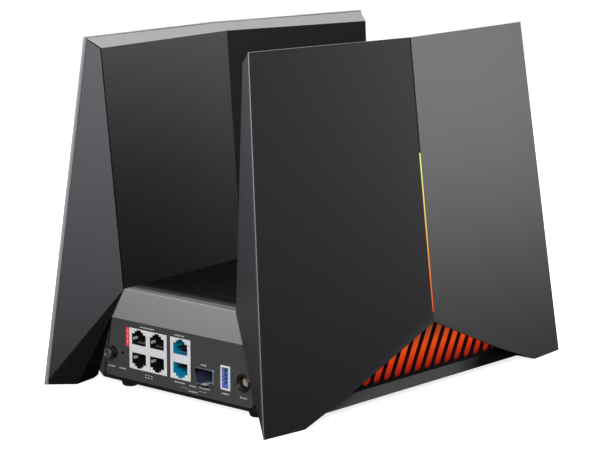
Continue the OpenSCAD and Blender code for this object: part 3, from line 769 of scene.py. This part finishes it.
def optical_cage():
    """The module cage: a bright rim, an inside painted dark as shade, and its latch tongue."""
    node = "sfp_cage"
    bm = cad_copy(node)
    low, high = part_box(node)
    for face in bm.faces:
        if face.normal.y > 0.9 and face.calc_center_median().y > high.y - 0.1 * MM:
            face.material_index = 2
    # painted shade: the cage's inside faces get the dark copy
    for face in inside_faces(bm, node, 0.3 * MM):
        face.material_index = 1

    def long_corner(edge):
        middle = edge_middle(edge)
        outer = abs(middle.x - (low.x + high.x) / 2) > (high.x - low.x) / 2 - 0.01 * MM
        return outer and abs(edge_direction(edge).y) > 0.99 and edge.is_convex

    round_edges(bm, 0.9 * MM, 4, long_corner)
    round_edges(bm, CRISP)
    middle = (low.x + high.x) / 2
    bottom, tongue_w = high.z - CAGE_H, 4.2 * MM
    soft_box(bm, (middle - tongue_w / 2, high.y - 6 * MM, bottom - 0.2 * MM),
        (middle + tongue_w / 2, high.y + 0.35 * MM, bottom + 0.75 * MM), 0.2 * MM, material=2)
    spring = [(high.y - 5 * MM, high.z - 0.5 * MM), (high.y - 2.4 * MM, high.z - 1.1 * MM)]
    spring.append((high.y - 0.4 * MM, high.z - 0.4 * MM))
    for x in (-5.2, -3.2, 3.2, 5.2):
        ribbon(bm, spring, middle + x * MM, 1.2 * MM, 0.15 * MM)
    made = from_bmesh("module_cage", bm, ["tin", "cage_inside_painted_shade", "silver_edge"])
    place_piece(made, [node])


def usb_socket():
    """The socket's white frame with its springs, and the blue blade inside."""
    node = "usb_shell"
    bm = cad_copy(node)
    low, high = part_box(node)
    for face in inside_faces(bm, node, 0.8 * MM):
        face.material_index = 1
    round_edges(bm, 0.25 * MM)
    z = high.z - USB_H / 2
    wall = high.x - 1.1 * MM
    for step in (-3.6, -1.2, 1.2, 3.6):
        soft_box(bm, (wall - 0.5 * MM, FACE_Y - 4.5 * MM, z + (step - 0.5) * MM),
            (wall + 0.2 * MM, FACE_Y - 1.2 * MM, z + (step + 0.5) * MM), 0.2 * MM, material=2)
    place_piece(from_bmesh("usb_frame", bm, ["jack_white", "usb_dark", "tin"]), [node])
    bm = cad_copy("usb_tongue")
    round_edges(bm, 0.3 * MM, 3)
    place_piece(from_bmesh("usb_blade", bm, ["usb_blue"]), ["usb_tongue"])


def power_inlet():
    """The inlet's body, the contact in its middle and the raised rim round its hole."""
    node = "power_inlet"
    bm = cad_copy(node)
    round_edges(bm, 0.5 * MM, 3, lambda e: edge_middle(e).y > FACE_Y)
    round_edges(bm, SOFT)
    place_piece(from_bmesh("inlet_body", bm, ["black_gloss"]), [node])
    low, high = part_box("inlet_sleeve")
    x, z, r, front = (low.x + high.x) / 2, (low.z + high.z) / 2, (high.x - low.x) / 2, high.y
    back = front - 7.6 * MM
    bm = bmesh.new()
    lathe(bm, [(0, back), (r, back), (r, front - 0.4 * MM),
        (r - 0.15 * MM, front - 0.1 * MM), (r - 0.4 * MM, front), (1.5 * MM, front),
        (1.4 * MM, front - 0.3 * MM), (1.1 * MM, front - 0.3 * MM), (0.8 * MM, front - 0.05 * MM),
        (0, front)], (x, 0, z))
    place_piece(from_bmesh("inlet_contact", bm, ["pin_beige"]), ["inlet_sleeve"])
    bm = bmesh.new()
    hole_r, rim_r, rim_h, sunk = 4.9 * MM, 5.6 * MM, 0.45 * MM, FACE_Y - 0.05 * MM
    lathe(bm, [(hole_r, sunk), (rim_r, sunk), (rim_r, FACE_Y + rim_h / 2),
        (rim_r - 0.2 * MM, FACE_Y + rim_h), (hole_r + 0.2 * MM, FACE_Y + rim_h),
        (hole_r, FACE_Y + rim_h / 2), (hole_r, sunk)], (x, 0, z))
    place_piece(from_bmesh("inlet_rim", bm, ["black_gloss"]))


def power_button():
    """The round cap: a raised rim round a dished face with the usual on-off sign, on its stem."""
    low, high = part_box("power_button")
    x, z, r, front = (low.x + high.x) / 2, (low.z + high.z) / 2, (high.x - low.x) / 2, high.y
    stem_r, cap_back = 1.5 * MM, front - 9 * MM
    bm = bmesh.new()
    lathe(bm, [(0, low.y), (stem_r - 0.2 * MM, low.y), (stem_r, low.y + 0.2 * MM), (stem_r, cap_back),
        (r - 0.3 * MM, cap_back), (r, cap_back + 0.3 * MM), (r, front - 0.75 * MM),
        (r - 0.15 * MM, front - 0.35 * MM), (r - 0.35 * MM, front - 0.08 * MM), (r - 0.55 * MM, front),
        (r - 0.72 * MM, front - 0.04 * MM), (r - 0.85 * MM, front - 0.3 * MM),
        (r - 1.3 * MM, front - 0.42 * MM), (0, front - 0.48 * MM)], (x, 0, z), steps=96)
    cap = from_bmesh("button_cap", bm, ["button_dark"])
    place_piece(cap, ["power_button"], "power_button")
    bm = bmesh.new()
    lathe(bm, [(r - 0.3 * MM, front - 0.1 * MM), (r - 0.4 * MM, front + 0.02 * MM),
        (r - 0.6 * MM, front + 0.06 * MM), (r - 0.75 * MM, front - 0.06 * MM),
        (r - 0.6 * MM, front - 0.2 * MM), (r - 0.3 * MM, front - 0.1 * MM)], (x, 0, z), steps=96)
    place_piece(from_bmesh("button_ring", bm, ["sign_grey"]), body="power_button")
    bm = bmesh.new()
    sign_r, gap, turns = 1.15 * MM, math.radians(38), 40
    half_w, back, top = 0.13 * MM, front - 0.5 * MM, front - 0.34 * MM
    rings = []
    for k in range(turns + 1):
        angle = math.pi / 2 + gap + (2 * math.pi - 2 * gap) * k / turns
        inner, outer = sign_r - half_w, sign_r + half_w
        rings.append([
            bm.verts.new((x + radius * math.cos(angle), y, z + radius * math.sin(angle)))
            for radius, y in ((inner, back), (outer, back), (outer, top), (inner, top))
        ])
    for one, two in zip(rings, rings[1:]):
        for k in range(4):
            bm.faces.new((one[k], one[(k + 1) % 4], two[(k + 1) % 4], two[k]))
    bm.faces.new(rings[0])
    bm.faces.new(rings[-1])
    soft_box(bm, (x - half_w, back, z + 0.25 * MM), (x + half_w, top, z + 1.5 * MM), 0.03 * MM)
    place_piece(from_bmesh("button_sign", bm, ["sign_grey"]), body="power_button")


def reset_button():
    """The plunger behind the pin hole."""
    bm = cad_copy("reset_button")
    round_edges(bm, 0.25 * MM, 3)
    plunger = from_bmesh("reset_plunger", bm, ["seam_black_and_painted_shade"])
    place_piece(plunger, ["reset_button"], "reset_button")


jack_housing("lan_jacks", "lan_housing", "jack_black")
jack_housing("wan_jacks", "wan_housing", "jack_teal")
jack_contacts()
jack_springs()
optical_cage()
usb_socket()
power_inlet()
power_button()
reset_button()

# ---------------------------------------------------------------- printed marks

PRINT_T = 0.06 * MM
PRINT_SOFT = 0.02 * MM

# One mark stands for each caption: what it is next to, how far it lies across from that part's
# middle, its width, and its height above the panel's lower edge, in millimetres.
CAPTIONS = (
    ("power_button", 1.4, 6.0, 5.9),
    ("reset_button", 0.5, 5.6, 5.9),
    ("lan_jacks", 0.25, 12.0, 34.0),
    ("wan_jacks", 0.4, 9.0, 33.9),
    ("wan_jacks", 0.4, 9.0, 5.4),
    ("sfp_cage", 0.5, 4.6, 19.3),
    ("sfp_cage", -0.25, 9.1, 5.2),
    ("usb_shell", 0.1, 5.8, 5.1),
    ("power_inlet", 0.0, 5.6, 5.1),
    ("wan_jacks", -10.9, 6.6, 5.0),
    ("wan_jacks", -10.3, 7.0, 1.6),
)


def print_box(bm, x0, x1, z0, z1):
    """A printed patch on the socket panel."""
    y = FACE_Y - PRINT_T / 2
    low = (min(x0, x1), y, min(z0, z1))
    high = (max(x0, x1), y + PRINT_T, max(z0, z1))
    soft_box(bm, low, high, PRINT_SOFT, segments=1)


def dashes(bm, x0, x1, z):
    """A row of short dashes where a caption would be: it says nothing."""
    lengths = (1.1, 0.7, 1.5, 0.9)
    gap, half_h = 0.45 * MM, 0.4 * MM
    x, k = x1, 0
    while x - lengths[k % 4] * MM > x0 - 0.2 * MM:
        length = lengths[k % 4] * MM
        print_box(bm, x, x - length, z - half_h, z + half_h)
        x -= length + gap
        k += 1


def bracket(bm):
    """The line with turned-up ends that joins the fast socket's and the cage's captions."""
    right, left = centre("wan_jacks").x - 0.6 * MM, centre("sfp_cage").x - 1.7 * MM
    middle = (centre("wan_jacks").x + centre("sfp_cage").x) / 2 - 0.4 * MM
    break_w = 4.4 * MM
    low, high = panel_low.z + 2.8 * MM, panel_low.z + 3 * MM
    print_box(bm, right, middle + break_w, low, high)
    print_box(bm, middle - break_w, left, low, high)
    for x in (right, left):
        print_box(bm, x - 0.1 * MM, x + 0.1 * MM, low, panel_low.z + 3.7 * MM)


def socket_plan(bm):
    """Two rows of pairs of dots under the four sockets."""
    for column in range(3):
        for row in range(2):
            x = centre("lan_jacks").x + (2.65 - 2.5 * column) * MM
            z = panel_low.z + (5.4 - 1.6 * row) * MM
            print_box(bm, x, x - 0.7 * MM, z, z - 0.7 * MM)
            print_box(bm, x - 1.1 * MM, x - 1.5 * MM, z, z - 0.7 * MM)


def red_tag():
    """The tag beside the four sockets, with plain bars on it."""
    bm = bmesh.new()
    print_box(bm, lan_high.x + 0.15 * MM, lan_high.x + 2.85 * MM,
        lan_high.z - 11.9 * MM, lan_high.z - 0.1 * MM)
    place_piece(from_bmesh("red_tag", bm, ["label_red"]))
    bm = bmesh.new()
    y = FACE_Y + PRINT_T / 2
    for top, bottom in ((1.5, 2.8), (3.5, 4.1), (5.0, 6.8), (7.6, 10.2)):
        low = (lan_high.x + 1.05 * MM, y - 0.02 * MM, lan_high.z - bottom * MM)
        high = (lan_high.x + 1.85 * MM, y + 0.03 * MM, lan_high.z - top * MM)
        soft_box(bm, low, high, 0.01 * MM, segments=1)
    place_piece(from_bmesh("tag_marks", bm, ["tag_pink"]))


def notch_painted_shade():
    """Flat black patches painted as the shade of the notches under the module cage and at the USB
    socket's corners.
    """
    bm = bmesh.new()
    middle, bottom = centre("sfp_cage").x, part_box("sfp_cage")[1].z - CAGE_H
    half_w = 2.6 * MM
    print_box(bm, middle - half_w, middle + half_w, bottom - 0.25 * MM, bottom - 1.5 * MM)
    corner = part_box("usb_shell")[1]
    for z in (corner.z - 0.6 * MM, corner.z - USB_H + 0.6 * MM):
        print_box(bm, corner.x + 0.1 * MM, corner.x + 0.9 * MM, z - 0.9 * MM, z + 0.9 * MM)
    place_piece(from_bmesh("notch_painted_shade", bm, ["seam_black_and_painted_shade"]))


def captions():
    """All the pale marks."""
    bm = bmesh.new()
    for node, across, width, up in CAPTIONS:
        middle = centre(node).x + across * MM
        dashes(bm, middle - width / 2 * MM, middle + width / 2 * MM, panel_low.z + up * MM)
    bracket(bm)
    socket_plan(bm)
    place_piece(from_bmesh("captions", bm, ["mark_white"]))


captions()
red_tag()
notch_painted_shade()

# ---------------------------------------------------------------- feet


def feet():
    """Four turned feet, each with a ring-shaped sole."""
    _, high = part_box("rubber_feet")
    r, sole = 6.3 * MM, 4.3 * MM
    bm = bmesh.new()
    for sx in (-1, 1):
        for sy in (-1, 1):
            at = (sx * (high.x - r), sy * (high.y - r), 0)
            lathe(bm, [(0, 0.4 * MM), (sole - 1.6 * MM, 0.4 * MM), (sole - 1.3 * MM, 0),
                (sole - 0.3 * MM, 0), (sole, 0.15 * MM), (sole + 0.3 * MM, 0.6 * MM),
                (r - 0.15 * MM, 4.6 * MM), (r, 5 * MM), (r, high.z), (0, high.z)], at, "Z")
    place_piece(from_bmesh("rubber_pads", bm, ["rubber"]), ["rubber_feet"])


feet()

# ---------------------------------------------------------------- parts that keep their CAD shape

CARRIED = {
    "board": (
        "main_board", "left_glow_board", "right_glow_board", "left_light_board", "right_light_board"),
    "laminate": ("left_antennas", "right_antennas"),
    "cable": ("left_antenna_cables", "right_antenna_cables"),
    "black_plastic": (
        "chips", "network_transformers", "capacitors", "sfp_connector", "power_switch", "reset_switch"),
    "tin": ("shield_cans",),
    "pad": ("thermal_pads",),
    "aluminium": ("heat_sink", "heat_spreader"),
    "gold": ("antenna_sockets",),
    "screw": ("board_screws", "cover_screws", "wing_screws"),
}
for look, nodes in CARRIED.items():
    for node in nodes:
        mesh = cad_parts[node].data
        mesh.materials.clear()
        mesh.materials.append(LOOKS[look])

# ---------------------------------------------------------------- stage

FLOOR_GLOW = 0.8
FLOOR_WHITE = (0.9, 0.9, 0.9)
CAMERA_AT = (-0.88363, 0.99837, 0.33811)
CAMERA_AIM = (0.0038, 0.00498, 0.09207)
LENS, SENSOR = 129.73, 36  # millimetres


def make_floor():
    """A plain white floor. It shows and takes shadows, and throws no light back."""
    bm = bmesh.new()
    bmesh.ops.create_grid(bm, x_segments=2, y_segments=2, size=12)
    floor = from_bmesh("floor", bm, [])
    white = Finish(FLOOR_WHITE, 0.9, specular=0.0)
    white.material.name = "pale_floor"
    white.colour_noise(FLOOR_WHITE, 0.005, 2)
    white.shader.inputs["Emission Color"].default_value = grey(1)
    white.shader.inputs["Emission Strength"].default_value = FLOOR_GLOW
    floor.data.materials.append(white.material)
    floor.visible_diffuse = False
    floor.visible_glossy = False


def aim_at(made, target):
    """Adds a light or camera to the scene, looking at a point."""
    made.rotation_mode = "QUATERNION"
    made.rotation_quaternion = (Vector(target) - made.location).to_track_quat("-Z", "Y")
    bpy.context.scene.collection.objects.link(made)


def area_light(name, at, target, size, power):
    light = bpy.data.lights.new(name, "AREA")
    light.shape = "RECTANGLE"
    light.size, light.size_y = size
    light.energy = power
    made = bpy.data.objects.new(name, light)
    made.location = at
    aim_at(made, target)


def make_world(above, below, background):
    """Even light, dimmer from below the horizon. The camera sees a plain backdrop."""
    world = bpy.data.worlds.new("studio")
    bpy.context.scene.world = world
    world.use_nodes = True
    tree = world.node_tree
    tree.nodes.clear()
    split = node_of(tree, "ShaderNodeSeparateXYZ")
    tree.links.new(node_of(tree, "ShaderNodeTexCoord").outputs["Generated"], split.inputs[0])
    level = node_of(tree, "ShaderNodeMapRange")
    for socket, number in zip(level.inputs[1:5], (-0.15, 0.35, below, above)):
        socket.default_value = number
    tree.links.new(split.outputs[2], level.inputs[0])
    dim = node_of(tree, "ShaderNodeBackground", Color=grey(1))
    tree.links.new(level.outputs[0], dim.inputs["Strength"])
    plain = node_of(tree, "ShaderNodeBackground", Color=grey(1), Strength=background)
    path = node_of(tree, "ShaderNodeLightPath")
    mix = node_of(tree, "ShaderNodeMixShader")
    output = node_of(tree, "ShaderNodeOutputWorld")
    tree.links.new(path.outputs["Is Camera Ray"], mix.inputs[0])
    tree.links.new(dim.outputs[0], mix.inputs[1])
    tree.links.new(plain.outputs[0], mix.inputs[2])
    tree.links.new(mix.outputs[0], output.inputs[0])


def make_camera():
    camera = bpy.data.cameras.new("camera")
    camera.sensor_width = SENSOR
    camera.lens = LENS
    camera.clip_start, camera.clip_end = 0.05, 50
    made = bpy.data.objects.new("camera", camera)
    made.location = CAMERA_AT
    aim_at(made, CAMERA_AIM)
    bpy.context.scene.camera = made


make_floor()
make_world(above=0.14, below=0.02, background=1.0)
area_light("overhead", at=(0, 0.1, 1.6), target=(0, 0, 0.1), size=(1.4, 1.2), power=22)
area_light("front_left", at=(-0.93, -1.43, 0.43), target=(0, 0, 0.15), size=(0.6, 0.84), power=9.5)
area_light("rear", at=(-0.85, 1.35, 0.75), target=(0, 0, 0.12), size=(0.9, 0.9), power=30)
area_light("right_fill", at=(1.8, 0.4, 0.8), target=(0, 0, 0.1), size=(1.0, 0.9), power=5)
make_camera()
bpy.context.scene.view_settings.view_transform = "Standard"
